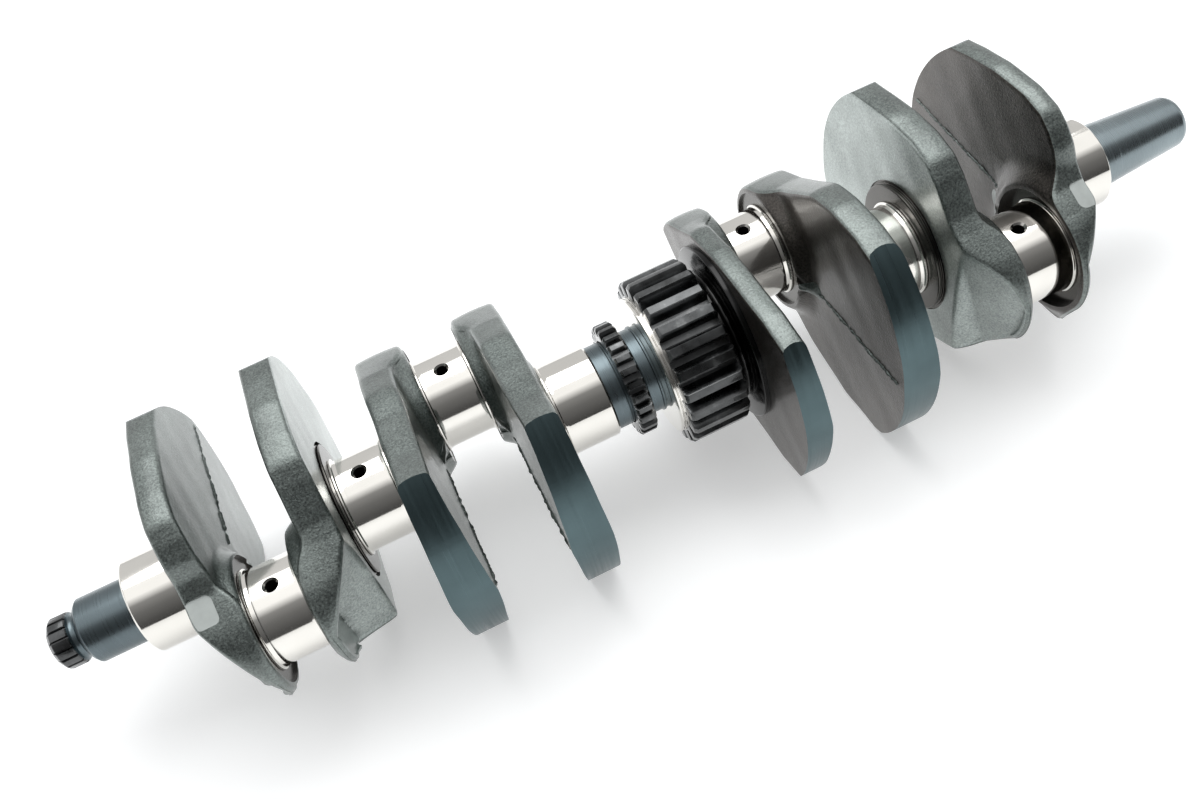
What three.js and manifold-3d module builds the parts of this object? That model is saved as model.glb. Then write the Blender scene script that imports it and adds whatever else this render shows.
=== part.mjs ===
// Crankshaft of an inline four-cylinder engine, with the cam-chain sprocket and the
// primary drive gear in its middle. Millimetres, +Z up.
//
// The frame: +X runs along the axis of rotation from the splined end to the tapered end.
// The four crankpins lie level with that axis: pins 1 and 4 at -Y, pins 2 and 3 at +Y. The
// origin is the middle of the bounding box: half way between the two ends, and AXIS_DROP
// above the axis of rotation, because the webs reach a little further up than down.
// Every piece is drawn round the axis of rotation and moved down as it is added.
import * as THREE from 'three';
import { mergeVertices } from 'three/addons/utils/BufferGeometryUtils.js';
import Module from 'manifold-3d';

const wasm = await Module();
wasm.setup();

// ---- driving dimensions -------------------------------------------------------------
const JOURNAL_RADIUS = 18;
const PIN_RADIUS = 17.75;
const THROW = 29.5; // half of the stroke
const COUNTERWEIGHT_RADIUS = 61.5;
const LOBE_RADIUS = 26.5; // the web round the crankpin
const HUB_RADIUS = 24; // the web round the axis of rotation
const COLLAR_RADIUS = 26;
const SHAFT_RADIUS = 16.5; // carries the sprocket and the gear
const BORE_GAP = 0.3; // between the shaft and the rings on it
const OIL_HOLE_RADIUS = 2.1;
const OIL_HOLE_DEPTH = 9;
const DRILLED_JOURNAL = 1; // the second main journal, counted from 0
const OIL_HOLE_ANGLE = 97; // degrees from +Y towards +Z
const ROUND = 48; // sides of a round piece
const AXIS_DROP = 3;

// Stations along X, from the splined end to the tapered end.
const SPLINE = {
  from: -232.25, to: -224.5, root: 8.75, tip: 9.75, teeth: 16, tipShare: 0.62, rootShare: 0.16, phase: 0,
};
const SPLINE_NECK = { from: -224.5, to: -221, radius: 8.25 };
const NOSE = {
  from: -221, to: -200, radius: 12.25, chamfer: 1.25, stepLength: 3, stepRadius: 12.5,
};
const MAIN_JOURNALS = [[-200, -180.5], [-120, -99.5], [-38.75, -18.75], [88.75, 109.5], [170.75, 191]];
const CRANKPINS = [
  { from: -160.5, to: -140, side: -1, hole: -150.25 },
  { from: -79.25, to: -58.75, side: 1, hole: -69 },
  { from: 48.25, to: 68.75, side: 1, hole: 58 },
  { from: 128.75, to: 152.25, side: -1, hole: 138.5 },
];
const THRUST_COLLARS = { thrust_collar_2: [-123.25, -120], thrust_collar_4: [109.5, 112.25] };
const MIDDLE_SHAFT = { from: -18.75, to: 27 };
const SPROCKET = {
  from: -12.25, to: -5.5, root: 19.4, tip: 22.2, teeth: 26, tipShare: 0.34, rootShare: 0.4, phase: 3.6,
};
const GEAR_RING = { from: 1.5, to: 4, radius: 27.25 };
const GEAR = {
  from: 4, to: 27, root: 27.8, tip: 33, teeth: 23, tipShare: 0.32, rootShare: 0.32, phase: 5.8,
};
const GEAR_NECK = { from: 27, to: 33.75, radius: 27, flangeFrom: 31.5, flangeRadius: 35 };
const TAPER = { from: 191, to: 232.25, bigRadius: 13.1, smallRadius: 10.2, chamfer: 1.5 };
const BOLT_HOLE = { radius: 5, depth: 26, coneDepth: 3 };
const CENTRE_HOLE = { radius: 3, depth: 5 };
// Turned clearances: web 2's round its thrust collar, and web 8's round crankpin 4.
const COLLAR_POCKET = { from: -123.25, to: -119, radius: COLLAR_RADIUS + BORE_GAP, centre: 0 };
const PIN_POCKET = { from: 148, to: 152.25, radius: 24, centre: -THROW };

// The webs' flanks, from the lobe round the crankpin to the start of the turned rim: u
// runs from the axis of rotation towards the crankpin, z upwards. A flank given once is the
// same above and below; a lower flank of its own makes the web lopsided.
const FULL_FLANK = {
  points: [[33, 28], [28.5, 32], [25, 37.5], [21, 44], [15, 49.5], [5, 52.5], [-10, 53.5], [-25, 52]],
  rimAngle: 126,
};
const HORNED_FLANK = {
  points: [[40, -32.2], [38, -33.6], [28.5, -34.8], [11, -39.6], [-9.5, -41], [-27, -41.5]], rimAngle: 132,
  lobeAngle: 38,
};
const BROAD_FLANK = { points: [[27, 30], [-2, 48], [-16, 51], [-30, 50]], rimAngle: 133 };
const BROAD_LOWER_FLANK = { points: [[24, -30], [9, -40], [-16, -47.5], [-36, -47.5]], rimAngle: 131 };
const PLAIN_FLANK = { points: [[26, 31], [10, 37.5], [-4, 38], [-27, 41.5]], rimAngle: 132 };
const SLIM_FLANK = { points: [[31, 28.5], [19, 35.5], [2, 38.5], [-37, 38.5]], rimAngle: 146 };
const LOBE_ANGLE = 64; // where the lobe's arc usually gives way to the flank

// cheek is the thick middle of the web, from one journal to the next; rim is its
// counterweight; side is the side of Y that its crankpin is on; pocket is turned out of it.
const WEBS = [
  { cheek: [-180.5, -160.5], rim: [-176, -165.75], side: -1, flank: FULL_FLANK, lower: HORNED_FLANK },
  {
    cheek: [-140, -123.25], rim: [-133.25, -120.75], side: -1, flank: FULL_FLANK, lower: HORNED_FLANK,
    pocket: COLLAR_POCKET,
  },
  { cheek: [-99.5, -79.25], rim: [-97.5, -86], side: 1, flank: PLAIN_FLANK },
  { cheek: [-58.75, -38.75], rim: [-53.25, -41.5], side: 1, flank: PLAIN_FLANK },
  { cheek: [33.75, 48.25], rim: [33.75, 42], side: 1, flank: SLIM_FLANK },
  { cheek: [68.75, 88.75], rim: [72, 84.25], side: 1, flank: BROAD_FLANK, lower: BROAD_LOWER_FLANK },
  { cheek: [112.25, 128.75], rim: [112.25, 122.75], side: -1, flank: FULL_FLANK, lower: HORNED_FLANK },
  {
    cheek: [149.25, 170.75], rim: [155.25, 162.75], side: -1, flank: FULL_FLANK, lower: HORNED_FLANK,
    pocket: PIN_POCKET,
  },
];

// ---- materials ----------------------------------------------------------------------
const forged = { color: 0x4a5250, roughness: 0.5, metalness: 0.8 };
const polished = { color: 0xd8cdbf, roughness: 0.15, metalness: 1 };
const toothed = { color: 0x2c3032, roughness: 0.32, metalness: 0.9 };
const ground = { color: 0x3a434b, roughness: 0.38, metalness: 0.9 };

// ---- solids -------------------------------------------------------------------------
function solidOf(geometry) {
  const bare = geometry.clone();
  for (const name of Object.keys(bare.attributes)) {
    if (name !== 'position') bare.deleteAttribute(name);
  }
  const merged = mergeVertices(bare, 1e-4);
  const mesh = new wasm.Mesh({
    numProp: 3,
    vertProperties: new Float32Array(merged.attributes.position.array),
    triVerts: new Uint32Array(merged.index.array),
  });
  return new wasm.Manifold(mesh);
}

function geometryOf(solid) {
  const mesh = solid.getMesh();
  const geometry = new THREE.BufferGeometry();
  geometry.setAttribute('position', new THREE.BufferAttribute(new Float32Array(mesh.vertProperties), 3));
  geometry.setIndex(new THREE.BufferAttribute(new Uint32Array(mesh.triVerts), 1));
  geometry.computeVertexNormals();
  return geometry;
}

// A round piece along X from a profile of [x, radius] points.
function turned(profile, sides = ROUND) {
  const ends = [[profile[0][0], 0], ...profile, [profile.at(-1)[0], 0]];
  const points = ends.map(([x, radius]) => new THREE.Vector2(radius, x));
  const geometry = new THREE.LatheGeometry(points, sides);
  geometry.rotateZ(-Math.PI / 2);
  return solidOf(geometry);
}

function rod(from, to, radius, centre = 0) {
  return turned([[from, radius], [to, radius]]).translate([0, centre, 0]);
}

// An outline in the YZ plane, extruded along X.
function plate(outline, from, to) {
  const shape = new THREE.Shape(outline);
  const geometry = new THREE.ExtrudeGeometry(shape, { depth: to - from, bevelEnabled: false });
  // The shape's x and y become Y and Z, and its depth becomes X.
  const turn = new THREE.Matrix4().makeBasis(
    new THREE.Vector3(0, 1, 0), new THREE.Vector3(0, 0, 1), new THREE.Vector3(1, 0, 0));
  geometry.applyMatrix4(turn);
  return solidOf(geometry).translate([from, 0, 0]);
}

function polar(radius, degrees, centre = 0) {
  const angle = THREE.MathUtils.degToRad(degrees);
  return new THREE.Vector2(centre + radius * Math.cos(angle), radius * Math.sin(angle));
}

function arc(radius, fromDegrees, toDegrees, steps, centre = 0) {
  const points = [];
  for (let i = 0; i <= steps; i += 1) {
    points.push(polar(radius, fromDegrees + ((toDegrees - fromDegrees) * i) / steps, centre));
  }
  return points;
}

// Straight-sided teeth: lands as shares of the tooth pitch, at the tip and at the root.
// phase is the angle in degrees from +Y to the first tooth.
function toothOutline({ root, tip, teeth, tipShare, rootShare, phase }) {
  const pitch = 360 / teeth;
  const points = [];
  for (let i = 0; i < teeth; i += 1) {
    const middle = phase + i * pitch;
    points.push(polar(tip, middle - (pitch * tipShare) / 2), polar(tip, middle + (pitch * tipShare) / 2));
    const gap = middle + pitch / 2;
    points.push(polar(root, gap - (pitch * rootShare) / 2), polar(root, gap + (pitch * rootShare) / 2));
  }
  return points;
}

// ---- sub-parts ----------------------------------------------------------------------
function flankPoints({ points, rimAngle, lobeAngle = LOBE_ANGLE }, sign) {
  const flank = points.map(([u, z]) => new THREE.Vector2(u, sign * Math.abs(z)));
  return [
    ...arc(LOBE_RADIUS, 0, sign * lobeAngle, 6, THROW),
    ...flank,
    ...arc(COUNTERWEIGHT_RADIUS, sign * rimAngle, sign * 180, Math.ceil((180 - rimAngle) / 8)),
  ];
}

function webOutline(upperFlank, lowerFlank, side) {
  const lower = flankPoints(lowerFlank, -1).slice(1, -1).reverse();
  return [...flankPoints(upperFlank, 1), ...lower].map((p) => new THREE.Vector2(side * p.x, p.y));
}

function cheekOutline(side) {
  // The lobe and the hub, joined by their common tangents.
  const lean = THREE.MathUtils.radToDeg(Math.acos((HUB_RADIUS - LOBE_RADIUS) / THROW));
  const points = [
    ...arc(LOBE_RADIUS, -lean, lean, 14, THROW),
    ...arc(HUB_RADIUS, lean, 360 - lean, 14),
  ];
  return points.map((p) => new THREE.Vector2(side * p.x, side * p.y));
}

function web({ cheek, rim, side, flank, lower = flank, pocket }) {
  const solid = plate(webOutline(flank, lower, side), ...rim).add(plate(cheekOutline(side), ...cheek));
  return pocket ? solid.subtract(rod(pocket.from, pocket.to, pocket.radius, pocket.centre)) : solid;
}

function drilled(solid, x, surfaceRadius, centre = 0) {
  const angle = THREE.MathUtils.degToRad(OIL_HOLE_ANGLE);
  const length = OIL_HOLE_DEPTH + 2;
  const drill = new THREE.CylinderGeometry(OIL_HOLE_RADIUS, OIL_HOLE_RADIUS, length, 16);
  drill.translate(0, surfaceRadius - OIL_HOLE_DEPTH + length / 2, 0);
  drill.rotateX(angle);
  drill.translate(x, centre, 0);
  return solid.subtract(solidOf(drill));
}

function mainJournal([from, to], hasOilHole) {
  const journal = rod(from, to, JOURNAL_RADIUS);
  return hasOilHole ? drilled(journal, (from + to) / 2, JOURNAL_RADIUS) : journal;
}

function crankpin({ from, to, side, hole }) {
  const centre = side * THROW;
  return drilled(rod(from, to, PIN_RADIUS, centre), hole, PIN_RADIUS, centre);
}

function splineEnd() {
  const { from, to } = SPLINE;
  return plate(toothOutline(SPLINE), from, to)
    .subtract(rod(from - 1, from + CENTRE_HOLE.depth, CENTRE_HOLE.radius));
}

function noseShaft() {
  const { from, to, radius, chamfer, stepLength, stepRadius } = NOSE;
  return turned([
    [from, radius - chamfer], [from + chamfer, radius],
    [to - stepLength, radius], [to - stepLength, stepRadius], [to, stepRadius],
  ]);
}

function ringOnShaft(outerSolid, from, to) {
  return outerSolid.subtract(rod(from - 1, to + 1, SHAFT_RADIUS + BORE_GAP));
}

function gearNeck() {
  const { from, to, radius, flangeFrom, flangeRadius } = GEAR_NECK;
  return turned([[from, radius], [flangeFrom, radius], [flangeFrom, flangeRadius], [to, flangeRadius]]);
}

function rotorTaper() {
  const { from, to, bigRadius, smallRadius, chamfer } = TAPER;
  const taper = turned([
    [from, bigRadius], [to - chamfer, smallRadius], [to, smallRadius - chamfer],
  ]);
  const { radius, depth, coneDepth } = BOLT_HOLE;
  const bottom = to - depth;
  const hole = turned([[bottom - coneDepth, 0.2], [bottom, radius], [to + 1, radius]], 24);
  return taper.subtract(hole);
}

// ---- assembly -----------------------------------------------------------------------
const crankshaft = new THREE.Group();

function addPart(name, solid, look) {
  const placed = solid.translate([0, 0, -AXIS_DROP]);
  const mesh = new THREE.Mesh(geometryOf(placed), new THREE.MeshStandardMaterial(look));
  mesh.name = name;
  crankshaft.add(mesh);
}

addPart('spline_end', splineEnd(), toothed);
addPart('spline_neck', rod(SPLINE_NECK.from, SPLINE_NECK.to, SPLINE_NECK.radius), ground);
addPart('nose_shaft', noseShaft(), ground);
MAIN_JOURNALS.forEach((span, i) => {
  addPart(`main_journal_${i + 1}`, mainJournal(span, i === DRILLED_JOURNAL), polished);
});
CRANKPINS.forEach((pin, i) => addPart(`crankpin_${i + 1}`, crankpin(pin), polished));
WEBS.forEach((spec, i) => addPart(`web_${i + 1}`, web(spec), forged));
for (const [name, [from, to]] of Object.entries(THRUST_COLLARS)) {
  addPart(name, rod(from, to, COLLAR_RADIUS), ground);
}
addPart('middle_shaft', rod(MIDDLE_SHAFT.from, MIDDLE_SHAFT.to, SHAFT_RADIUS), ground);
addPart('cam_chain_sprocket',
  ringOnShaft(plate(toothOutline(SPROCKET), SPROCKET.from, SPROCKET.to), SPROCKET.from, SPROCKET.to),
  toothed);
addPart('gear_ring',
  ringOnShaft(rod(GEAR_RING.from, GEAR_RING.to, GEAR_RING.radius), GEAR_RING.from, GEAR_RING.to), polished);
addPart('primary_drive_gear',
  ringOnShaft(plate(toothOutline(GEAR), GEAR.from, GEAR.to), GEAR.from, GEAR.to), toothed);
addPart('gear_neck', gearNeck(), ground);
addPart('rotor_taper', rotorTaper(), ground);

export default crankshaft;
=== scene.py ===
import math

import bmesh
import bpy
import numpy as np
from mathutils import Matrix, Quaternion, Vector


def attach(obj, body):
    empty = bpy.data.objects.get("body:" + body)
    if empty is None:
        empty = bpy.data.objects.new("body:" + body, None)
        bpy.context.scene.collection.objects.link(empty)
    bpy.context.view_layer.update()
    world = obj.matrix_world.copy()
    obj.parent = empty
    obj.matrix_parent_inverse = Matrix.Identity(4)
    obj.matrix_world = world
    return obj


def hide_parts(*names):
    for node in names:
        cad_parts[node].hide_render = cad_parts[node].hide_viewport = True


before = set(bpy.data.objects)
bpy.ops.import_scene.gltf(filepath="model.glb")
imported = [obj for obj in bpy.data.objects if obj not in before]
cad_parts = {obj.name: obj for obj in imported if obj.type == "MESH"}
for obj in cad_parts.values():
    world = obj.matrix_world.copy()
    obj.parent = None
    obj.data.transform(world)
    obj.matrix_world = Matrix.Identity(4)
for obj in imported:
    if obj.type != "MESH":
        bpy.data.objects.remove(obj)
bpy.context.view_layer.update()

MM = 0.001
AXIS_DROP = 3.0  # from the origin down to the axis of rotation, round which all is drawn
THROW = 29.5
RIM_RADIUS = 61.5
FORGED_RADIUS = 64.2  # the counterweight before its edge is turned
LOBE_RADIUS = 26.5
JOURNAL_RADIUS = 18.0
PIN_RADIUS = 17.75
PAD_LENGTH = 10.6  # of the flat facets on the end webs, across the lobe
LEAST_THICKNESS = 3.4  # of a web where its lobe is relieved
POCKET_RADIUS = 23.9  # the turned face round each crankpin
HOLE_RADIUS = 2.15
HOLE_ANGLE = 97  # degrees from +Y towards +Z
HOLE_DEPTH = 14  # of an oil hole below the journal's surface
CHAMFER_DEPTH = 0.75  # of the oil hole's mouth
CHAMFER_OVERRUN = 1.5  # of the chamfer's tool, out past the surface
CHAMFER_SPREAD = 2.6  # from the hole's radius to the tool's, at the end of that overrun
ARC_STEP = 0.35  # about the length of a large fillet's chords
BEVEL_ANGLE = 28  # degrees: sharper edges of toothed pieces are bevelled
TURNED_ANGLE = 28  # degrees: sharper edges of turned pieces are left sharp
EDGE_ROUNDING = 1.9  # radius between a web's face and its edge
ROUNDING_SHARE = 0.46  # of the web's thickness, at most, that the radius takes
EDGE_INSET = 2.0  # from the edge to where that thickness is taken
EDGE_SWELL = 0.35  # of a web's edge between its two roundings
LEFT_SEED = 3  # added to a web's seed for its left face
BOSS_BLEND = 2.4  # width of the change from a web's face to a boss's slope
RELIEF_BLEND = 1.2  # width of the change from a web's face to its lobe's relief
RELIEF_START = 27  # distance from the axis at which the relief begins
RELIEF_FADE = 9  # distance over which it comes in
RELIEF_CENTRE = 38  # distance from the axis at which its station is given
RELIEF_CLEAR = 6  # height over the face where the relief has no effect
SLOPE_SOFTNESS = 0.4  # square of the radius at the top of a boss's slope
SLOPE_OFFSET = 0.632  # takes that radius off again, so that the slope starts at the top
WAVE_HEIGHT = 0.07  # of the forging's unevenness
FLASH_STEP = 0.55  # between the points of a die line
FLASH_WANDER = 0.16  # spread of those points to either side
FLASH_ROOT = 0.5  # depth of a die line's foot below the face
PAD_HEIGHT = 6  # of the block that cuts a facet
TOOL_REACH = 20  # of a cutting tool past the face it turns
RIM_TOOL_END = 260  # half the length of the cylinder that turns a rim
FLOOR_SIZE = 3000  # half the floor's width
FLOOR_LEVEL = -47.7  # from the axis of rotation
FOCAL_LENGTH = 35.118
SENSOR_WIDTH = 36
CAMERA_PLACE = (-0.06668, -0.2899, 0.31985)  # metres
CAMERA_VIEW = (0.10552, 0.65833, -0.74529)  # the direction it looks in
CAMERA_ROLL = -18.539  # degrees
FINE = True


# ---- materials -------------------------------------------------------------------------------
class Nodes:
    """A material's node tree, with a short way to add and link nodes."""

    def __init__(self, name, color, roughness, metallic=1.0, **sockets):
        self.material = bpy.data.materials.new(name)
        self.material.use_nodes = True
        self.tree = self.material.node_tree
        self.shader = self.tree.nodes["Principled BSDF"]
        self.shader.inputs["Base Color"].default_value = (*color, 1)
        self.shader.inputs["Roughness"].default_value = roughness
        self.shader.inputs["Metallic"].default_value = metallic
        for key, value in sockets.items():
            self.shader.inputs[key.replace("_", " ")].default_value = value
        coords = self.tree.nodes.new("ShaderNodeTexCoord")
        self.position = coords.outputs["Object"]

    def node(self, kind, **inputs):
        added = self.tree.nodes.new(kind)
        for key, value in inputs.items():
            self.feed(added.inputs[key.replace("_", " ")], value)
        return added

    def feed(self, socket, value):
        if isinstance(value, bpy.types.NodeSocket):
            self.tree.links.new(value, socket)
        else:
            socket.default_value = value

    def noise(self, scale, detail=3.0, roughness=0.6, stretch=None):
        vector = self.position
        if stretch:
            mapping = self.node("ShaderNodeMapping", Vector=vector, Scale=stretch)
            vector = mapping.outputs["Vector"]
        added = self.node(
            "ShaderNodeTexNoise", Vector=vector, Scale=scale, Detail=detail, Roughness=roughness
        )
        return added.outputs["Fac"]

    def ramp(self, value, *stops):
        added = self.node("ShaderNodeValToRGB", Fac=value)
        elements = added.color_ramp.elements
        while len(elements) < len(stops):
            elements.new(0.5)
        for element, (place, color) in zip(elements, stops):
            element.position = place
            element.color = (*color, 1)
        return added.outputs["Color"]

    def grey(self, value, low, high, start=0.3, end=0.7):
        added = self.node("ShaderNodeMapRange", Value=value)
        for key, number in zip(("From Min", "From Max", "To Min", "To Max"), (start, end, low, high)):
            added.inputs[key].default_value = number
        return added.outputs["Result"]

    def bump(self, height, distance, strength=1.0, normal=None):
        added = self.node("ShaderNodeBump", Height=height, Distance=distance, Strength=strength)
        if normal is not None:
            self.feed(added.inputs["Normal"], normal)
        return added.outputs["Normal"]

    def finish(self, color=None, roughness=None, normal=None):
        for key, value in (("Base Color", color), ("Roughness", roughness), ("Normal", normal)):
            if value is not None:
                self.feed(self.shader.inputs[key], value)
        return self.material


def forged_material(name, dark, light, grain):
    """Oiled steel as forged: dark, finely pebbled, with a thin glossy film."""
    nodes = Nodes(name, light, 0.4, Coat_Weight=0.6, Coat_Roughness=0.2)
    tone = nodes.noise(46, 4, 0.6)
    speck = nodes.noise(1300, 3, 0.75)
    both = nodes.node("ShaderNodeMath", Value=tone)
    both.operation = "MULTIPLY_ADD"
    both.inputs[1].default_value = 0.55
    nodes.feed(both.inputs[2], nodes.grey(speck, -0.02, 0.42))
    worn = tuple(c * 1.7 for c in light)
    color = nodes.ramp(both.outputs[0], (0.26, dark), (0.5, light), (0.8, worn))
    pits = nodes.node("ShaderNodeTexVoronoi", Vector=nodes.position, Scale=1050)
    rough = nodes.bump(nodes.noise(1700, 3, 0.7), 0.00014 * grain, 0.9)
    dimpled = nodes.bump(pits.outputs["Distance"], 0.00012 * grain, 0.55, rough)
    wavy = nodes.bump(nodes.noise(150, 3, 0.55), 0.0004 * grain, 0.35, dimpled)
    return nodes.finish(color, nodes.grey(speck, 0.3, 0.5), wavy)


def turned_material(name, light, roughness, lines, depth):
    """Steel with fine lathe lines along X."""
    nodes = Nodes(name, light, roughness)
    streak = nodes.noise(1, 3, 0.6, (lines, 14, 14))
    tone = nodes.noise(46, 3, 0.5)
    color = nodes.ramp(
        nodes.grey(tone, 0.0, 1.0), (0.1, tuple(c * 0.82 for c in light)), (0.9, light)
    )
    return nodes.finish(
        color, nodes.grey(streak, roughness * 0.8, roughness * 1.25), nodes.bump(streak, depth, 0.6)
    )


def polished_material():
    nodes = Nodes("polished_journal", (0.82, 0.80, 0.75), 0.07)
    lines = nodes.noise(1, 2, 0.5, (2600, 9, 9))
    smear = nodes.noise(30, 3, 0.6)
    color = nodes.ramp(smear, (0.3, (0.78, 0.76, 0.715)), (0.7, (0.86, 0.84, 0.795)))
    return nodes.finish(color, nodes.grey(smear, 0.06, 0.12), nodes.bump(lines, 0.0000009, 0.5))


def plain_material(name, color, roughness, metallic=1.0):
    nodes = Nodes(name, color, roughness, metallic)
    tone = nodes.noise(120, 3, 0.6)
    shade = nodes.ramp(tone, (0.3, tuple(c * 0.8 for c in color)), (0.7, color))
    return nodes.finish(shade, nodes.grey(tone, roughness * 0.85, roughness * 1.2))


def toothed_material():
    nodes = Nodes("toothed_steel", (0.1, 0.105, 0.11), 0.2, Coat_Weight=0.7, Coat_Roughness=0.06)
    tone = nodes.noise(160, 4, 0.6)
    drawn = nodes.noise(1, 3, 0.6, (60, 900, 900))
    color = nodes.ramp(
        tone,
        (0.25, (0.03, 0.032, 0.033)),
        (0.6, (0.09, 0.094, 0.096)),
        (0.85, (0.28, 0.29, 0.29)),
    )
    return nodes.finish(color, nodes.grey(tone, 0.22, 0.42), nodes.bump(drawn, 0.00003, 0.5))


FORGED = forged_material("forged_steel", dark=(0.085, 0.1, 0.095), light=(0.175, 0.2, 0.19), grain=1.0)
TURNED = turned_material(
    "turned_rim", light=(0.19, 0.22, 0.215), roughness=0.46, lines=900, depth=0.000001
)
PAD = plain_material("ground_pad", color=(0.56, 0.60, 0.585), roughness=0.4)
MACHINED = turned_material(
    "machined_face", light=(0.42, 0.41, 0.39), roughness=0.17, lines=1400, depth=0.000001
)
# Near black for the turned pockets round the crankpins, the hubs added and seats cut round the journals, and
# the thrust collars: painted shade.
SEAT = turned_material(
    "machined_seat_painted_shade", light=(0.1, 0.095, 0.088), roughness=0.2, lines=1400, depth=0.000001
)
# Darker, bluish turned rims for webs 3 to 6: a painted dark reflection.
PAINTED_REFLECTION_RIM = turned_material(
    "rim_painted_dark_reflection", light=(0.1, 0.145, 0.155), roughness=0.32, lines=900, depth=0.000001
)
# A darker copy of the forging for the left faces of webs 5, 6 and 8: painted shade.
PAINTED_SHADE_FORGING = forged_material("forging_painted_shade", dark=(0.03, 0.027, 0.024), light=(0.075, 0.067, 0.06), grain=1.0)
# A paler copy of the forging for the right face of web 2 and the left face of web 7: painted highlight.
PAINTED_HIGHLIGHT_FORGING = forged_material("forging_painted_highlight", dark=(0.2, 0.23, 0.22), light=(0.36, 0.4, 0.385), grain=0.5)
OIL_BLACK = plain_material("oiled_black", color=(0.03, 0.03, 0.03), roughness=0.14)
POLISHED = polished_material()
TOOTHED = toothed_material()
GROUND = turned_material(
    "ground_steel", light=(0.15, 0.185, 0.2), roughness=0.3, lines=1500, depth=0.0000004
)
TAPERED = turned_material(
    "tapered_seat", light=(0.27, 0.32, 0.34), roughness=0.26, lines=1500, depth=0.0000004
)
# Near black inside the oil holes: painted shade.
BLACK = plain_material("oil_hole_painted_shade", color=(0.012, 0.012, 0.012), roughness=0.6, metallic=0.5)


# ---- outlines and profiles -------------------------------------------------------------------
def rounded(points, closed=False):
    """A path through points (x, y, fillet radius), each corner replaced by its fillet."""
    out = []
    count = len(points)
    for i, (x, y, radius) in enumerate(points):
        here = np.array((x, y), float)
        if radius <= 0 or (not closed and i in (0, count - 1)):
            out.append(here)
            continue
        before = np.array(points[i - 1][:2], float) - here
        after = np.array(points[(i + 1) % count][:2], float) - here
        a, b = before / np.linalg.norm(before), after / np.linalg.norm(after)
        half = math.acos(np.clip(a @ b, -1, 1)) / 2
        if half > math.pi / 2 - 0.01:
            out.append(here)
            continue
        longest = 0.49 * min(np.linalg.norm(before), np.linalg.norm(after))
        reach = min(radius / math.tan(half), longest)
        radius = reach * math.tan(half)
        centre = here + (a + b) / np.linalg.norm(a + b) * radius / math.sin(half)
        start, end = here + a * reach - centre, here + b * reach - centre
        turn = math.pi - 2 * half
        steps = max(2, int(turn * radius / ARC_STEP), int(math.degrees(turn) / 12))
        sense = math.copysign(1, start[0] * end[1] - start[1] * end[0])
        for k in range(steps + 1):
            t = sense * turn * k / steps
            c, s = math.cos(t), math.sin(t)
            out.append(centre + np.array((c * start[0] - s * start[1], s * start[0] + c * start[1])))
    return np.array(out)


def resampled(path, count):
    """count points, evenly spaced along a closed path."""
    loop = np.vstack((path, path[:1]))
    length = np.r_[0, np.cumsum(np.hypot(*np.diff(loop, axis=0).T))]
    places = np.linspace(0, length[-1], count, endpoint=False)
    return np.c_[np.interp(places, length, loop[:, 0]), np.interp(places, length, loop[:, 1])]


def arc(radius, start, end, steps, centre=0.0):
    angles = np.radians(np.linspace(start, end, steps + 1))
    return [(centre + radius * math.cos(t), radius * math.sin(t), 0) for t in angles]


# ---- meshes ----------------------------------------------------------------------------------
def made(name, vertices, faces, materials, indices=None):
    mesh = bpy.data.meshes.new(name)
    points = (np.asarray(vertices, float) - (0, 0, AXIS_DROP)) * MM
    mesh.from_pydata([tuple(v) for v in points], [], [tuple(f) for f in faces])
    for material in materials:
        mesh.materials.append(material)
    if indices is not None:
        mesh.polygons.foreach_set("material_index", np.asarray(indices, np.int32))
    work = bmesh.new()
    work.from_mesh(mesh)
    bmesh.ops.recalc_face_normals(work, faces=work.faces)
    work.to_mesh(mesh)
    work.free()
    thing = bpy.data.objects.new(name, mesh)
    bpy.context.scene.collection.objects.link(thing)
    return thing


def shade(thing, angle):
    """Smooth faces, with sharp edges where the surface turns or the finish changes."""
    mesh = thing.data
    work = bmesh.new()
    work.from_mesh(mesh)
    for face in work.faces:
        face.smooth = True
    limit = math.radians(angle)
    for edge in work.edges:
        sides = edge.link_faces
        edge.smooth = (
            len(sides) == 2
            and sides[0].material_index == sides[1].material_index
            and edge.calc_face_angle(0) < limit
        )
    work.to_mesh(mesh)
    work.free()
    return thing


def applied(thing):
    """Turn what thing's modifiers make of its mesh into its mesh."""
    graph = bpy.context.evaluated_depsgraph_get()
    mesh = bpy.data.meshes.new_from_object(thing.evaluated_get(graph))
    thing.modifiers.clear()
    thing.data = mesh


def cut(thing, tool, operation):
    modifier = thing.modifiers.new("cut", "BOOLEAN")
    modifier.operation = operation
    modifier.object = tool
    modifier.solver = "MANIFOLD"
    applied(thing)
    bpy.data.objects.remove(tool)


def bevelled(thing, width):
    modifier = thing.modifiers.new("bevel", "BEVEL")
    modifier.width = width * MM
    modifier.segments = 2
    modifier.limit_method = "ANGLE"
    modifier.angle_limit = math.radians(BEVEL_ANGLE)
    applied(thing)


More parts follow.
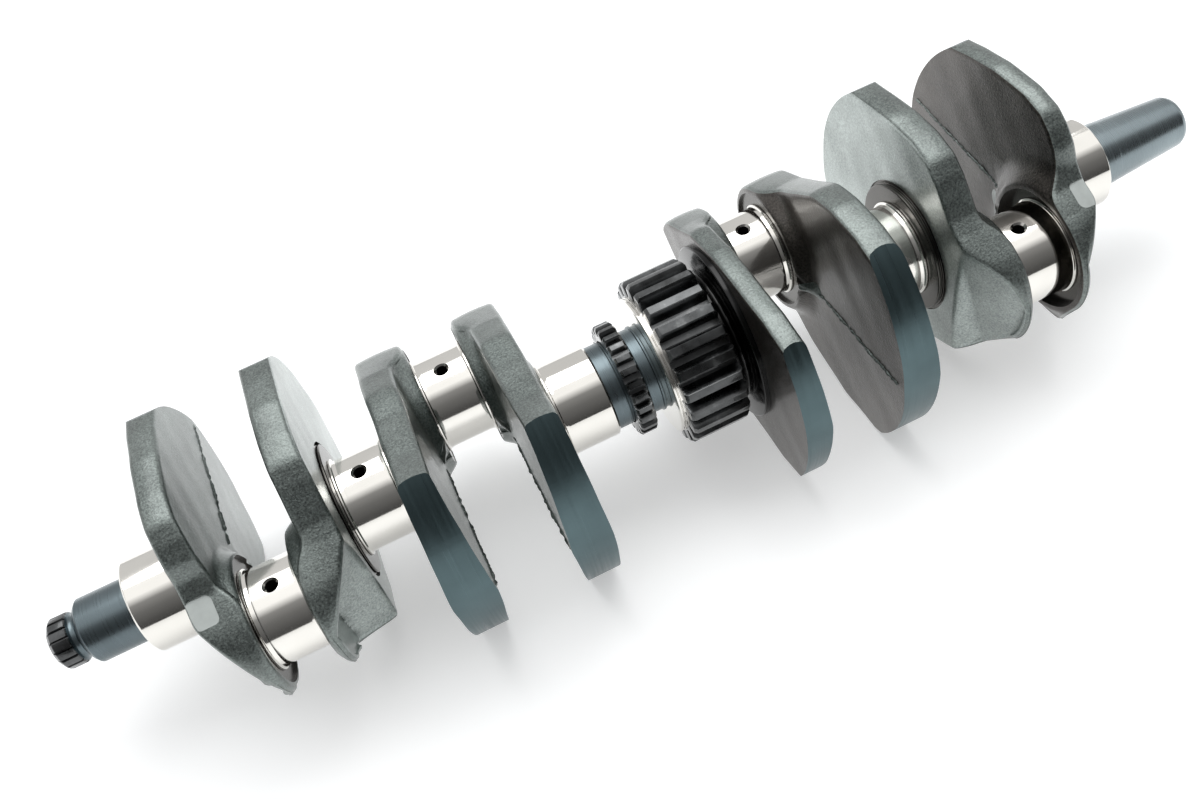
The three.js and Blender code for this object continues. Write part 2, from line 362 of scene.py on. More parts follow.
def lathe(name, profile, materials, centre=0.0, sides=None, index=0):
    """A closed round piece about the line y = centre, from a profile of (x, radius, fillet).
    index is the material of all its faces."""
    sides = sides or (192 if FINE else 96)
    path = rounded([(p[0], p[1], p[2] if len(p) > 2 else 0) for p in profile])
    turns = np.linspace(0, 2 * math.pi, sides, endpoint=False)
    rings = [np.c_[np.full(sides, x), centre + r * np.cos(turns), r * np.sin(turns)] for x, r in path]
    ends = [(path[0][0], centre, 0.0), (path[-1][0], centre, 0.0)]
    vertices = np.vstack((*rings, ends))
    faces = []
    for k in range(len(path) - 1):
        a, b = k * sides, (k + 1) * sides
        faces += [(a + i, a + (i + 1) % sides, b + (i + 1) % sides, b + i) for i in range(sides)]
    last = (len(path) - 1) * sides
    tip = len(path) * sides
    faces += [(tip, (i + 1) % sides, i) for i in range(sides)]
    faces += [(tip + 1, last + i, last + (i + 1) % sides) for i in range(sides)]
    return made(name, vertices, faces, materials, [index] * len(faces))


def bar(name, outline, start, end, material):
    """An outline of (y, z) points, extruded along X."""
    count = len(outline)
    vertices = [(x, y, z) for x in (start, end) for y, z in outline]
    faces = [(i, (i + 1) % count, count + (i + 1) % count, count + i) for i in range(count)]
    faces += [tuple(range(count)), tuple(range(count, 2 * count))]
    return made(name, vertices, faces, [material])


def place(thing, slot, *nodes):
    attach(thing, "root")
    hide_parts(*nodes)
    return thing


# ---- webs ------------------------------------------------------------------------------------
# Outlines from the lobe to the counterweight: u runs from the axis towards the crankpin, z
# across it, then the fillet.
LOBE = arc(LOBE_RADIUS, 0, 62, 24, THROW)
SHOULDER = (
    LOBE
    + [(33.5, 28.6, 6), (28.2, 32.5, 9), (25, 37.5, 10), (21, 44, 8), (15, 49.6, 8), (5, 52.6, 14)]
    + [(-10, 53.5, 20), (-25, 52, 14), (-39, 50.2, 3)]
    + arc(FORGED_RADIUS, 129.5, 180, 26)
)
WIDE_SHOULDER = (
    LOBE
    + [(33.5, 28.6, 6), (29.5, 34, 9), (27.3, 41, 10), (23.6, 46.6, 8), (18, 51.5, 8), (8, 54.4, 14)]
    + [(-10, 54.8, 20), (-25, 53, 14), (-39, 50.4, 3)]
    + arc(FORGED_RADIUS, 129.5, 180, 26)
)
HORNED = (
    arc(LOBE_RADIUS, 0, 36, 16, THROW)
    + [(38.9, 33.9, 2.2), (28.8, 34.8, 4), (11, 39.6, 14), (-9.5, 41, 14), (-27, 41.5, 20), (-44, 47, 6)]
    + arc(FORGED_RADIUS, 137, 180, 24)
)
BLUNT = (
    arc(LOBE_RADIUS, 0, 42, 18, THROW)
    + [(34, 30.6, 8), (26, 34, 8), (11, 39.6, 14), (-9.5, 41, 14), (-27, 41.5, 20), (-44, 47, 6)]
    + arc(FORGED_RADIUS, 137, 180, 24)
)
PLAIN = (
    LOBE
    + [(26, 31, 8), (10, 37, 14), (-4, 37.8, 14), (-27, 41.5, 20), (-44.2, 46.8, 6)]
    + arc(FORGED_RADIUS, 137, 180, 24)
)
SLIM = LOBE + [(31, 28.5, 6), (19, 35, 12), (2, 38, 16), (-38, 38.2, 16), (-54.5, 34.5, 6)] + arc(
    FORGED_RADIUS, 151, 180, 18
)
BROAD = LOBE + [(27, 30, 8), (-2, 47.5, 16), (-16, 50.5, 14), (-32, 49.5, 10), (-45.5, 45.5, 6)] + arc(
    FORGED_RADIUS, 138.5, 180, 24
)
BROAD_LOWER = LOBE + [(24, 30, 6), (9, 40, 14), (-16, 47.5, 14), (-38, 47.5, 8), (-46, 45, 4)] + arc(
    FORGED_RADIUS, 138.5, 180, 24
)


class Side:
    """One face of a web. Its height is the distance outwards along X, most at the crease."""

    def __init__(self, face, draft, boss, slope, relief=None):
        self.face, self.draft, self.boss, self.slope, self.relief = face, draft, boss, slope, relief

    def height(self, u, z, crease, seed, other=None):
        w = self.face - self.draft * np.abs(z - crease[0] - crease[1] * u)
        if self.boss:
            rounds, top = self.boss
            away = [np.hypot(u - centre, z - high) - radius for centre, high, radius in rounds]
            far = np.maximum(np.min(away, axis=0), 0)
            rise = top - self.slope * (np.sqrt(far ** 2 + SLOPE_SOFTNESS) - SLOPE_OFFSET)
            w = blended(w, rise, BOSS_BLEND)
        if self.relief:
            start, along, across = self.relief
            lobe = np.clip((u - RELIEF_START) / RELIEF_FADE, 0, 1)
            drop = start - along * (u - RELIEF_CENTRE) + across * z
            drop = drop * lobe + (1 - lobe) * (self.face + RELIEF_CLEAR)
            least = LEAST_THICKNESS - other.height(u, z, crease, seed)
            w = np.maximum(-blended(-w, -drop, RELIEF_BLEND), least)
        wave = np.sin(u * 0.31 + seed) * np.sin(z * 0.27 + 2 * seed) + np.sin(u * 0.13 - z * 0.19 + seed)
        return w + WAVE_HEIGHT * wave


def blended(a, b, width):
    """The larger of a and b, with a soft change over between them."""
    h = np.clip(0.5 + 0.5 * (a - b) / width, 0, 1)
    return b * (1 - h) + a * h + width * h * (1 - h)


RIM, FLAT, SEATED, FACE = 1, 2, 3, 4  # places in a web's list of materials


def web_body(name, spec):
    """The forging: two faces over one outline, joined round the edge by rounded corners."""
    count = 420 if FINE else 200
    upper_flank = rounded(spec["outline"])
    lower_flank = rounded(spec.get("lower", spec["outline"]))
    path = np.vstack((upper_flank, lower_flank[-2:0:-1] * (1, -1)))
    edge = resampled(path, count)
    tangent = np.roll(edge, -2, 0) - np.roll(edge, 2, 0)
    tangent /= np.hypot(*tangent.T)[:, None]
    inward = np.c_[-tangent[:, 1], tangent[:, 0]]
    crease = spec.get("crease", (0.0, 0.0))
    seed = spec["seed"]
    right, left = spec["right"], spec["left"]
    core = edge + inward * EDGE_INSET
    thick = right.height(*core.T, crease, seed, left)
    thick += left.height(*core.T, crease, seed + LEFT_SEED, right)
    # Evened out over nine points of the edge.
    kernel = np.ones(9) / 9
    thick = np.convolve(np.r_[thick[-4:], thick, thick[:4]], kernel, "valid")
    radius = np.minimum(EDGE_ROUNDING, ROUNDING_SHARE * thick)
    rings = []
    # Each ring's share of the way from the middle out to the shoulder.
    inner = np.r_[np.linspace(1, 0.36, 44 if FINE else 22), 0.2, 0.08]

    def face_ring(side, points, key):
        other = left if side is right else right
        return side.height(points[:, 0], points[:, 1], crease, seed + key, other)

    def half_rings(side, key):
        """Rings of one face, from its middle out to its rounded edge, as (points, w)."""
        found = []
        shoulder = edge + inward * radius[:, None]
        for share in inner[::-1]:
            points = shoulder * share
            found.append((points, face_ring(side, points, key)))
        top = face_ring(side, shoulder, key)
        for turn in np.radians((18, 36, 54, 72, 90)):
            points = edge + inward * (radius * (1 - math.sin(turn)))[:, None]
            found.append((points, top - radius * (1 - math.cos(turn))))
        return found

    for points, w in half_rings(right, 0):
        rings.append(np.c_[w, points])
    left_rings = [np.c_[-w, points] for points, w in half_rings(left, LEFT_SEED)]
    upper, lower = rings[-1], left_rings[-1]
    for share in (0.25, 0.5, 0.75):
        swell = EDGE_SWELL * 4 * share * (1 - share)
        middle = upper * (1 - share) + lower * share
        middle[:, 1:] -= inward * swell
        rings.append(middle)
    rings += left_rings[::-1]
    grid = np.stack(rings)
    side = spec["side"]
    grid = np.stack((grid[..., 0], side * grid[..., 1], grid[..., 2]), -1)
    rows = len(rings)
    vertices = grid.reshape(-1, 3)
    ends = [grid[0].mean(0), grid[-1].mean(0)]
    faces = []
    for k in range(rows - 1):
        a, b = k * count, (k + 1) * count
        faces += [(a + i, b + i, b + (i + 1) % count, a + (i + 1) % count) for i in range(count)]
    tip, last = rows * count, (rows - 1) * count
    faces += [(tip, i, (i + 1) % count) for i in range(count)]
    faces += [(tip + 1, last + (i + 1) % count, last + i) for i in range(count)]
    # One of the two faces may be painted darker, as painted shade, or lighter, as a painted highlight.
    painted_side = spec.get("painted_shade_face") or spec.get("pale")
    indices = np.zeros(len(faces), int)
    shown = (len(inner) + 1) * count
    if painted_side == "right":
        indices[:shown] = FACE
    elif painted_side == "left":
        indices[last - shown:last] = FACE
    return made(name, np.vstack((vertices, ends)), faces, web_materials(spec), indices)


def web_materials(spec):
    """The forging's own, then those at RIM, FLAT, SEATED and FACE. FACE is the forging's copy with
    painted shade or a painted highlight, when one face has it, and else the forging itself.
    """
    face = PAINTED_SHADE_FORGING if "painted_shade_face" in spec else PAINTED_HIGHLIGHT_FORGING if "pale" in spec else FORGED
    return [FORGED, spec.get("rim", TURNED), PAD, SEAT, face]


def pad_tool(spec, start, end, u, z, angle, depth):
    """A rounded block whose flat side cuts a small facet into the lobe's shoulder at (u, z)."""
    side = spec["side"]
    turn = math.radians(angle)
    out = np.array((side * math.cos(turn), math.sin(turn)))
    across = np.array((-out[1], out[0]))
    base = np.array((side * u, z)) - out * depth
    half = (end - start) / 2
    reach = PAD_LENGTH / 2
    corners = [(half, reach, 2), (-half, reach, 3), (-half, -reach, 2), (half, -reach, 3)]
    shape = rounded(corners, True)
    vertices = []
    for far in (0, PAD_HEIGHT):
        for along, aside in shape:
            y, z_here = base + out * far + across * aside
            vertices.append(((start + end) / 2 + along, y, z_here))
    count = len(shape)
    faces = [(i, (i + 1) % count, count + (i + 1) % count, count + i) for i in range(count)]
    faces += [tuple(range(count)), tuple(range(count, 2 * count))]
    return made("pad_tool", vertices, faces, web_materials(spec), [FLAT] * len(faces))


def flash(name, spec, on_right):
    """The jagged line left on a face where the two dies met."""
    side, crease = spec["side"], spec.get("crease", (0.0, 0.0))
    face, other = spec["left"], spec["right"]
    seed = spec["seed"] + LEFT_SEED
    if on_right:
        face, other = other, face
        seed = spec["seed"]
    rng = np.random.default_rng(int(spec["seed"] * 10) + on_right)
    start, end = spec["flash"]
    u = np.arange(start, end, -FLASH_STEP)
    z = crease[0] + crease[1] * u + rng.normal(0, FLASH_WANDER, len(u))
    w = face.height(u, z, crease, seed, other)
    tall = np.convolve(rng.uniform(0.15, 0.95, len(u)), (0.25, 0.5, 0.25), "same")
    wide = 0.28 + 0.35 * tall
    sign = 1 if on_right else -1
    vertices = []
    for i in range(len(u)):
        # How far aside in z, and how high over the face.
        section = (
            (-wide[i], -FLASH_ROOT),
            (-0.08, tall[i]),
            (0.14, tall[i] * 0.9),
            (wide[i] * 1.2, -FLASH_ROOT),
        )
        for aside, high in section:
            vertices.append((sign * (w[i] + high), side * u[i], z[i] + aside))
    faces = []
    for i in range(len(u) - 1):
        a, b = 4 * i, 4 * i + 4
        faces += [(a + k, a + (k + 1) % 4, b + (k + 1) % 4, b + k) for k in range(4)]
    tail = 4 * (len(u) - 1)
    faces += [(0, 1, 2, 3), (tail + 3, tail + 2, tail + 1, tail)]
    return made(name, vertices, faces, web_materials(spec))


def joined(things):
    """The things as one, under the first one's name."""
    with bpy.context.temp_override(
        active_object=things[0], selected_editable_objects=things, selected_objects=things
    ):
        bpy.ops.object.join()
    return things[0]


def build_web(number, spec):
    name = f"web_{number}"
    body = web_body(name + "_forging", spec)
    materials = web_materials(spec)
    profile = [(-RIM_TOOL_END, RIM_RADIUS), (RIM_TOOL_END, RIM_RADIUS)]
    rim = lathe("rim_tool", profile, materials, 0.0, 256, RIM)
    cut(body, rim, "INTERSECT")
    centre = spec["side"] * THROW
    pin_side, pin_face = spec["pin"]
    profile = sorted([(pin_face, POCKET_RADIUS), (pin_face + pin_side * TOOL_REACH, POCKET_RADIUS)])
    tool = lathe("pin_tool", profile, materials, centre, 160, SEATED)
    cut(body, tool, "DIFFERENCE")
    if "hub" in spec:
        start, end, radius = spec["hub"]
        hub = lathe("hub_tool", [(start, radius), (end, radius)], materials, 0.0, 160, SEATED)
        cut(body, hub, "UNION")
    if "bearing" in spec:
        start, end, radius = spec["bearing"]
        tool = lathe("bearing_tool", [(start, radius), (end, radius)], materials, 0.0, 160, SEATED)
        cut(body, tool, "DIFFERENCE")
    for pad in spec.get("pads", ()):
        cut(body, pad_tool(spec, *pad), "DIFFERENCE")
    parts = [shade(body, 34)]
    for on_right in spec.get("flash_on", ()):
        parts.append(shade(flash(f"{name}_flash_{int(on_right)}", spec, on_right), 60))
    if len(parts) > 1:
        joined(parts)
    return place(parts[0], "forged_steel", name)


# A round under the pointed end of webs 2 and 7, as high as the boss beside it.
HORN = (30.5, -24.5, 9.5)

# side is the crankpin's side in Y. pin is the way out of the web to its crankpin, and the
# station of the face turned there; hub and bearing are the start, end and radius of what is
# added and turned away round the shaft. flash is where the die line runs, in u, and flash_on
# whether it is on the right face. crease is its z at u = 0, and its rise with u. The key for
# painted shade names the face that is painted darker than the rest, and pale the face painted
# lighter, as a painted highlight. pads are the flat facets: start and end along X, u, z, the
# way they face in degrees from u, and depth. right and left are the face's station outwards
# along X at the crease, its draft per mm, the raised rounds (u, z and radius) with their
# station, their slope, and on the journal's side the lobe's relief: its station at u = 38,
# z = 0, its fall along u and its rise along z.
WEBS = {
    1: dict(
        side=-1, seed=0.4, outline=WIDE_SHOULDER, lower=HORNED, crease=(9.5, -0.15),
        pin=(1, -160.5),
        flash=(-0.5, -57), flash_on=(True,),
        right=Side(-162.6, 0.055, (((THROW, 0, 24.6),), -159.2), 1.6),
        left=Side(176.6, 0.035, (((0.0, 0, 22.0),), 180.5), 0.9, (170.7, 0.4, 0.27)),
        pads=((-175.8, -166.6, 37.4, 26.2, 60, 0.4),), bearing=(-200, -180.5, 23.0),
    ),
    2: dict(
        side=-1, seed=1.1, outline=SHOULDER, lower=BLUNT, pale="right",
        pin=(-1, -140.0), flash=(-0.5, -57), flash_on=(False,),
        right=Side(-120.7, 0.02, None, 1.0, (-134.6, 0.305, 0.484)),
        left=Side(134.4, 0.02, (((THROW, 0, 24.0), HORN), 140.4), 1.8),
        hub=(-131, -121.6, 29.4), bearing=(-123.25, -90, 27.0),
    ),
    3: dict(
        side=1, seed=1.9, outline=PLAIN, rim=PAINTED_REFLECTION_RIM, pin=(1, -79.25), flash=(-3, -60), flash_on=(True,),
        right=Side(-82.8, 0.075, (((THROW, 0, 23.8),), -78.9), 1.5),
        left=Side(99.2, 0.045, None, 1.0, (99, 0.3, 0.4)), bearing=(-110, -99.5, 24.0),
    ),
    4: dict(
        side=1, seed=2.6, outline=PLAIN, rim=PAINTED_REFLECTION_RIM,
        pin=(-1, -58.75), flash=(-3, -60), flash_on=(False,),
        right=Side(-40.0, 0.03, (((0.0, 0, 20.5),), -38.75), 0.9, (-40, 0.3, 0.4)),
        left=Side(55.4, 0.055, (((THROW, 0, 23.8),), 59.1), 1.5), bearing=(-38.75, -30, 21.0),
    ),
    5: dict(
        side=1, seed=3.3, outline=SLIM, rim=PAINTED_REFLECTION_RIM, painted_shade_face="left", pin=(1, 48.25), flash=(-3, -60),
        flash_on=(True,),
        right=Side(44.0, 0.05, (((THROW, 0, 24.6),), 49.0), 1.4),
        left=Side(-33.75, 0.0, None, 1.0, (-33, 0.3, 0.3)),
    ),
    6: dict(
        side=1, seed=4.0, outline=BROAD, lower=BROAD_LOWER, rim=PAINTED_REFLECTION_RIM, painted_shade_face="left", pin=(-1, 68.75),
        flash=(-2, -58), flash_on=(False,),
        right=Side(86.6, 0.045, (((0.0, 0, 21.5),), 88.75), 0.9, (86, 0.4, 0.4)),
        left=Side(-72.1, 0.02, (((THROW, 0, 25.2),), -67.6), 1.1), bearing=(88.75, 100, 23.0),
    ),
    7: dict(
        side=-1, seed=4.7, outline=SHOULDER, lower=BLUNT, pale="left", pin=(1, 128.75), flash=(-0.5, -57),
        flash_on=(True,),
        right=Side(124.2, 0.02, (((THROW, 0, 24.3), HORN), 129.0), 1.6),
        left=Side(-111.6, 0.012, None, 1.0, (-117, 0.55, 0.2)),
        hub=(113.4, 121, 29.4), bearing=(100, 112.25, 27.0),
    ),
    8: dict(
        side=-1, seed=5.4, outline=WIDE_SHOULDER, lower=HORNED, painted_shade_face="left", crease=(7.0, -0.14),
        pin=(-1, 152.25),
        flash=(-0.5, -57), flash_on=(False,),
        right=Side(164.6, 0.035, (((0.0, 0, 22.0),), 170.75), 0.9, (156.8, 0.5, 0.35)),
        left=Side(-153.6, 0.03, (((THROW, 0, 25.4),), -149.0), 0.8),
        pads=((156.6, 165.2, 37.4, 26.2, 60, 0.4),), bearing=(170.75, 180, 23.0),
    ),
}
for number, spec in WEBS.items():
    build_web(number, spec)


# ---- journals and crankpins ------------------------------------------------------------------
def round_normals(thing, centre, radius):
    """Exact normals on the cylinder, so that the oil hole leaves its mirror finish even."""
    mesh = thing.data
    normals = []
    corner = mesh.corner_normals
    for polygon in mesh.polygons:
        for loop in polygon.loop_indices:
            co = mesh.vertices[mesh.loops[loop].vertex_index].co
            out = Vector((0, co.y - centre * MM, co.z + AXIS_DROP * MM))
            if abs(out.length - radius * MM) < 0.00004 and polygon.normal.dot(out.normalized()) > 0.985:
                normals.append(out.normalized())
            else:
                normals.append(corner[loop].vector.copy())
    mesh.normals_split_custom_set(normals)


def hole_tool(x, centre, radius):
    """A drill with a chamfer at its mouth."""
    profile = [
        (radius - HOLE_DEPTH, HOLE_RADIUS),
        (radius - CHAMFER_DEPTH, HOLE_RADIUS),
        (radius + CHAMFER_OVERRUN, HOLE_RADIUS + CHAMFER_SPREAD),
    ]
    sides = 48
    turn = math.radians(HOLE_ANGLE)
    out = np.array((0, math.cos(turn), math.sin(turn)))
    along, across = np.array((1.0, 0, 0)), np.cross(out, (1.0, 0, 0))
    base = np.array((x, centre, 0.0))
    vertices = [
        base + out * far + (along * math.cos(t) + across * math.sin(t)) * wide
        for far, wide in profile for t in np.linspace(0, 2 * math.pi, sides, endpoint=False)
    ]
    faces = []
    # The bore and its ends take the dark material, 2, painted shade inside the hole, and the chamfer the
    # machined one, 1.
    indices = []
    for k in range(2):
        a, b = k * sides, (k + 1) * sides
        faces += [(a + i, a + (i + 1) % sides, b + (i + 1) % sides, b + i) for i in range(sides)]
        indices += [2 if k == 0 else 1] * sides
    faces += [tuple(range(sides)), tuple(range(2 * sides, 3 * sides))]
    indices += [2, 2]
    return made("hole_tool", vertices, faces, [POLISHED, MACHINED, BLACK], indices)


def journal(name, start, end, centre, radius, hole, slot_nodes, lips=(1.0, 1.0)):
    """A ground cylinder with a rolled fillet up to a low ring at each end."""
    ring = radius + 1.1
    # From a face inwards: how far, the radius there and its fillet.
    lip = [
        (0, ring - 0.25), (0.25, ring), (0.8, ring, 0.1), (1.0, ring - 0.45, 0.4),
        (1.15, radius + 0.3, 0.9), (2.6, radius, 2.2),
    ]
    left = [(start + point[0], *point[1:]) for point in lip]
    right = [(end - point[0], *point[1:]) for point in reversed(lip)]
    if not lips[0]:
        left = [(start, radius - 0.8), (start + 0.8, radius, 0.5)]
    if not lips[1]:
        right = [(end - 0.8, radius, 0.5), (end, radius - 0.8)]
    thing = lathe(name, left + right, [POLISHED, MACHINED, BLACK], centre, 224 if FINE else 112)
    if hole is not None:
        cut(thing, hole_tool(hole, centre, radius), "DIFFERENCE")
    shade(thing, 24)
    round_normals(thing, centre, radius)
    return place(thing, "polished_journal", *slot_nodes)


JOURNALS = [
    ("main_journal_1", -200, -180.5, 0, None, (0, 1)),
    ("main_journal_2", -120, -99.5, 0, -110.25, (1, 1)),
    ("main_journal_3", -38.75, -18.75, 0, None, (1, 0)),
    ("main_journal_4", 88.75, 109.5, 0, None, (1, 1)),
    ("main_journal_5", 170.75, 191, 0, None, (1, 0)),
    ("crankpin_1", -160.5, -140, -THROW, -150.25, (1, 1)),
    ("crankpin_2", -79.25, -58.75, THROW, -69, (1, 1)),
    ("crankpin_3", 48.25, 68.75, THROW, 58, (1, 1)),
    ("crankpin_4", 128.75, 152.25, -THROW, 138.5, (1, 1)),
]
for name, start, end, centre, hole, lips in JOURNALS:
    radius = JOURNAL_RADIUS if centre == 0 else PIN_RADIUS
    journal(name + "_ground", start, end, centre, radius, hole, [name], lips)


# ---- turned pieces ---------------------------------------------------------------------------
def turned(node, profile, material, slot):
    thing = lathe(node + "_turned", profile, [material])
    return place(shade(thing, TURNED_ANGLE), slot, node)


turned("thrust_collar_2", [
    (-123.25, 25.6), (-122.9, 26, 0.2), (-121.8, 26, 0.2), (-121.6, 25.3, 0.2), (-121.1, 25.3, 0.2),
    (-120.9, 25.6, 0.2), (-120.3, 25.6, 0.3), (-120, 25.2, 0.2), (-120, 19),
], SEAT, "ground_steel")
turned("thrust_collar_4", [
    (109.5, 19), (109.5, 25.4, 0.3), (109.8, 25.8, 0.3), (110.6, 25.8, 0.2), (110.8, 25.3, 0.2),
    (111.3, 25.3, 0.2), (111.5, 26, 0.2), (112.25, 26),
], SEAT, "ground_steel")
turned("spline_neck", [
    (-224.5, 9.2), (-224.1, 8.4, 0.8), (-223.4, 8.0, 1.2), (-222.4, 8.0, 1.2),
    (-221.6, 8.6, 0.8), (-221, 9.8),
], GROUND, "ground_steel")
turned("nose_shaft", [
    (-221, 10.6), (-220.9, 10.9, 0.3), (-219.6, 12.25, 0.5), (-203.1, 12.25, 0.1),
    (-203, 12.5, 0.1), (-200, 12.5),
], GROUND, "ground_steel")
turned("middle_shaft", [
    (-18.75, 16.5), (-13.2, 16.5, 0.2), (-13, 16.2, 0.2), (-4.8, 16.2, 0.2), (-4.6, 16.5, 0.2),
    (-0.6, 16.5, 0.2), (-0.4, 17.1, 0.2), (0.4, 17.1, 0.2), (0.6, 16.5, 0.2), (27, 16.5),
], GROUND, "ground_steel")
turned("gear_neck", [
    (27, 25.8), (27.3, 26.2, 0.3), (28.6, 26.2, 0.8), (29.2, 25.2, 0.8), (30.4, 25.2, 0.8), (31.2, 26.6, 0.8),
    (31.6, 34.6, 0.3), (31.9, 35, 0.2), (33.75, 35),
], OIL_BLACK, "ground_steel")
turned("rotor_taper", [
    (191, 13.1), (199.7, 12.5, 0.1), (199.9, 12.42, 0.1), (229.7, 10.3, 0.8),
    (231.3, 9.5, 0.8), (232.25, 8.2, 0.6), (232.25, 6.4), (231.2, 5.1), (208, 5), (206, 0.5),
], TAPERED, "ground_steel")


# ---- toothed pieces --------------------------------------------------------------------------
def teeth(root, tip, count, tip_share, root_share, phase, curve=0.0):
    """A gear's outline. phase turns it, in degrees; tip_share and root_share are the parts of
    the pitch at the tip and in the gap. curve bends each flank outwards, in pitches."""
    pitch = 2 * math.pi / count
    points = []
    for i in range(count):
        middle = math.radians(phase) + i * pitch
        half_tip, half_root = pitch * tip_share / 2, pitch * (0.5 - root_share / 2)
        flank = []
        for k in range(4):
            t = k / 3
            bend = pitch * curve * math.sin(math.pi * t)
            flank.append((half_root + (half_tip - half_root) * t + bend, root + (tip - root) * t))
        for half, radius in flank:
            points.append((radius * math.cos(middle - half), radius * math.sin(middle - half)))
        for half, radius in reversed(flank):
            points.append((radius * math.cos(middle + half), radius * math.sin(middle + half)))
    return points


def toothed(node, outline, start, end, width, bore, dome):
    """A toothed piece: dome is the profile of its tips, bore its bore's radius, if it has one."""
    thing = bar(node + "_cut", outline, start, end, TOOTHED)
    cut(thing, lathe("dome_tool", dome, [TOOTHED], 0.0, 128), "INTERSECT")
    bevelled(thing, width)
    if bore:
        tool = lathe("bore_tool", [(start - 5, bore), (end + 5, bore)], [TOOTHED], 0.0, 128)
        cut(thing, tool, "DIFFERENCE")
    return place(shade(thing, 30), "toothed_steel", node)


toothed("spline_end", teeth(8.6, 9.75, 16, 0.7, 0.14, 0), -232.25, -224.5, 0.14, None, [
    (-232.25, 7.6), (-232.2, 7.8, 0.4), (-230.6, 9.75, 1.0), (-225.1, 9.75, 0.3), (-224.5, 9.2),
])
toothed("cam_chain_sprocket", teeth(19.4, 22.2, 26, 0.36, 0.4, 3.6, 0.02), -12.25, -5.5, 0.22, 16.8, [
    (-12.25, 21.2), (-11.5, 22.2, 0.4), (-6.3, 22.2, 0.4), (-5.5, 21.2),
])
toothed("primary_drive_gear", teeth(27.8, 33, 23, 0.34, 0.3, 5.8, 0.025), 4, 27, 0.3, 16.8, [
    (4, 31.9), (5.2, 33, 0.5), (25.8, 33, 0.5), (27, 31.9),
])
ring = lathe("gear_ring_turned", [
    (1.5, 16.8), (1.5, 26.7, 0.2), (1.9, 27.25, 0.3), (2.7, 27.25, 0.15), (2.85, 26.9, 0.1),
    (3.05, 26.9, 0.1), (3.2, 27.25, 0.15), (4, 27.25), (4, 16.8),
], [POLISHED])
place(shade(ring, TURNED_ANGLE), "polished_journal", "gear_ring")


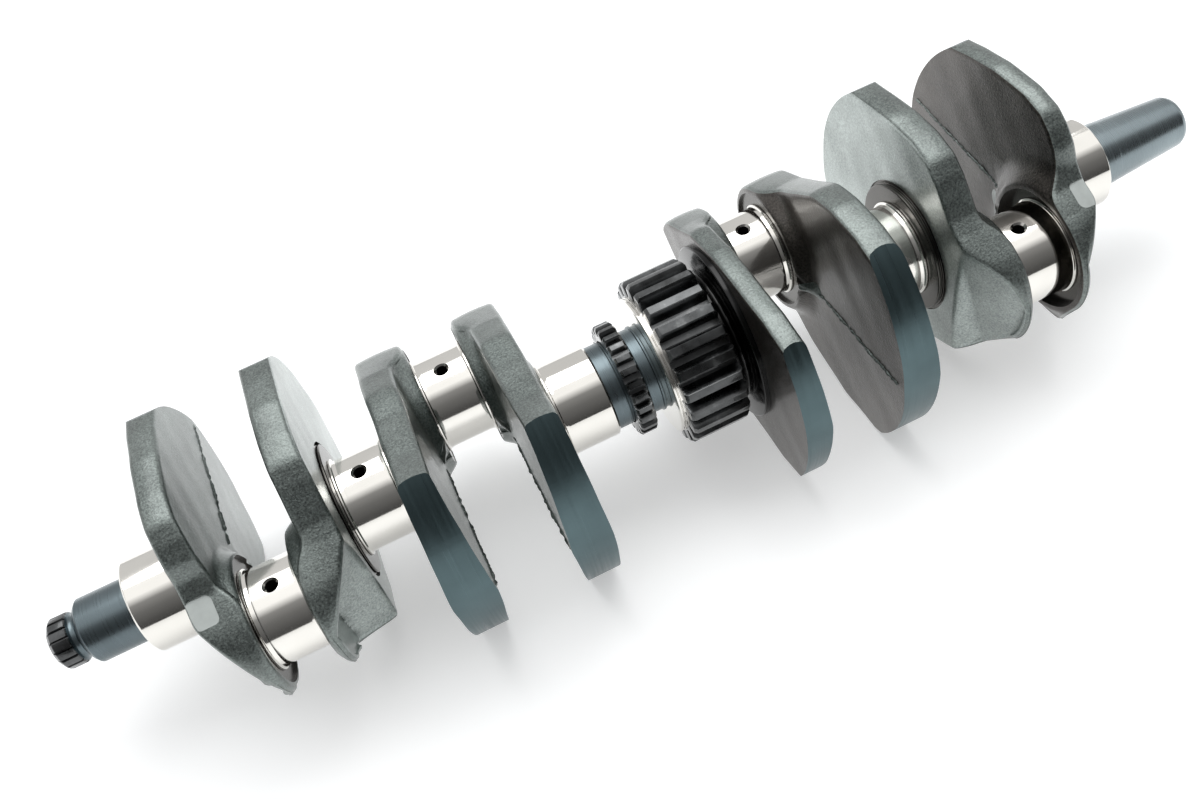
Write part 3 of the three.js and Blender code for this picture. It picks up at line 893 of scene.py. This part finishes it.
# ---- stage -----------------------------------------------------------------------------------
def stage():
    signs = [(-1, -1), (1, -1), (1, 1), (-1, 1)]
    corners = [(FLOOR_SIZE * x, FLOOR_SIZE * y, FLOOR_LEVEL) for x, y in signs]
    floor = made("floor", corners, [(0, 1, 2, 3)], [])
    material = bpy.data.materials.new("pale_floor")
    material.use_nodes = True
    shader = material.node_tree.nodes["Principled BSDF"]
    shader.inputs["Base Color"].default_value = (0.72, 0.73, 0.735, 1)
    shader.inputs["Roughness"].default_value = 0.9
    shader.inputs["Specular IOR Level"].default_value = 0.1
    shader.inputs["Emission Color"].default_value = (1, 1, 1, 1)
    shader.inputs["Emission Strength"].default_value = 0.42
    floor.data.materials.append(material)

    light = bpy.data.lights.new("softbox", "AREA")
    light.shape, light.size, light.size_y = "RECTANGLE", 1.4, 0.8
    light.energy = 9
    lamp = bpy.data.objects.new("softbox", light)
    lamp.location = (0.1, 0.45, 1.1)
    lamp.rotation_mode = "QUATERNION"
    lamp.rotation_quaternion = (Vector((0, 0, 0)) - lamp.location).to_track_quat("-Z", "Y")
    bpy.context.scene.collection.objects.link(lamp)

    world = bpy.data.worlds.new("studio")
    bpy.context.scene.world = world
    world.use_nodes = True
    tree = world.node_tree
    tree.nodes.clear()
    new, link = tree.nodes.new, tree.links.new
    coords = new("ShaderNodeTexCoord")
    split = new("ShaderNodeSeparateXYZ")
    link(coords.outputs["Generated"], split.inputs[0])
    # The angle about X, from +Y over the top, as a share of a full turn from straight down.
    angle = new("ShaderNodeMath")
    angle.operation = "ARCTAN2"
    link(split.outputs["Z"], angle.inputs[0])
    link(split.outputs["Y"], angle.inputs[1])
    wrap = new("ShaderNodeMath")
    wrap.operation = "MULTIPLY_ADD"
    link(angle.outputs[0], wrap.inputs[0])
    wrap.inputs[1].default_value = 1 / (2 * math.pi)
    wrap.inputs[2].default_value = 0.25
    share = new("ShaderNodeMath")
    share.operation = "FRACT"
    link(wrap.outputs[0], share.inputs[0])

    # Plain neutral light: a pale room, one soft white strip overhead and one dark card beyond it,
    # as degrees about X and the brightness there.
    ramp = new("ShaderNodeValToRGB")
    stops = [
        (-90, 0.55), (-5, 0.55), (15, 0.6), (62, 0.6), (66, 1.0), (106, 1.0), (124, 0.24),
        (144, 0.14), (160, 0.1), (176, 0.06), (188, 0.04), (197, 0.55), (269, 0.55),
    ]
    elements = ramp.color_ramp.elements
    while len(elements) < len(stops):
        elements.new(0.5)
    for element, (degrees, level) in zip(elements, stops):
        element.position = (degrees + 90) / 360
        element.color = (level, level, level, 1)
    link(share.outputs[0], ramp.inputs[0])
    reflected = new("ShaderNodeBackground")
    link(ramp.outputs[0], reflected.inputs["Color"])
    reflected.inputs["Strength"].default_value = 1.15
    plain = new("ShaderNodeBackground")
    plain.inputs["Color"].default_value = (1, 1, 1, 1)
    plain.inputs["Strength"].default_value = 1.0
    rays = new("ShaderNodeLightPath")
    choose = new("ShaderNodeMixShader")
    link(rays.outputs["Is Camera Ray"], choose.inputs[0])
    link(reflected.outputs[0], choose.inputs[1])
    link(plain.outputs[0], choose.inputs[2])
    out = new("ShaderNodeOutputWorld")
    link(choose.outputs[0], out.inputs["Surface"])


def camera():
    data = bpy.data.cameras.new("camera")
    data.lens, data.sensor_width = FOCAL_LENGTH, SENSOR_WIDTH
    data.clip_start, data.clip_end = 0.01, 20
    seen = bpy.data.objects.new("camera", data)
    seen.location = CAMERA_PLACE
    seen.rotation_mode = "QUATERNION"
    roll = Quaternion((0, 0, 1), math.radians(CAMERA_ROLL))
    seen.rotation_quaternion = Vector(CAMERA_VIEW).to_track_quat("-Z", "Y") @ roll
    bpy.context.scene.collection.objects.link(seen)
    bpy.context.scene.camera = seen


stage()
camera()
bpy.context.scene.view_settings.view_transform = "Standard"
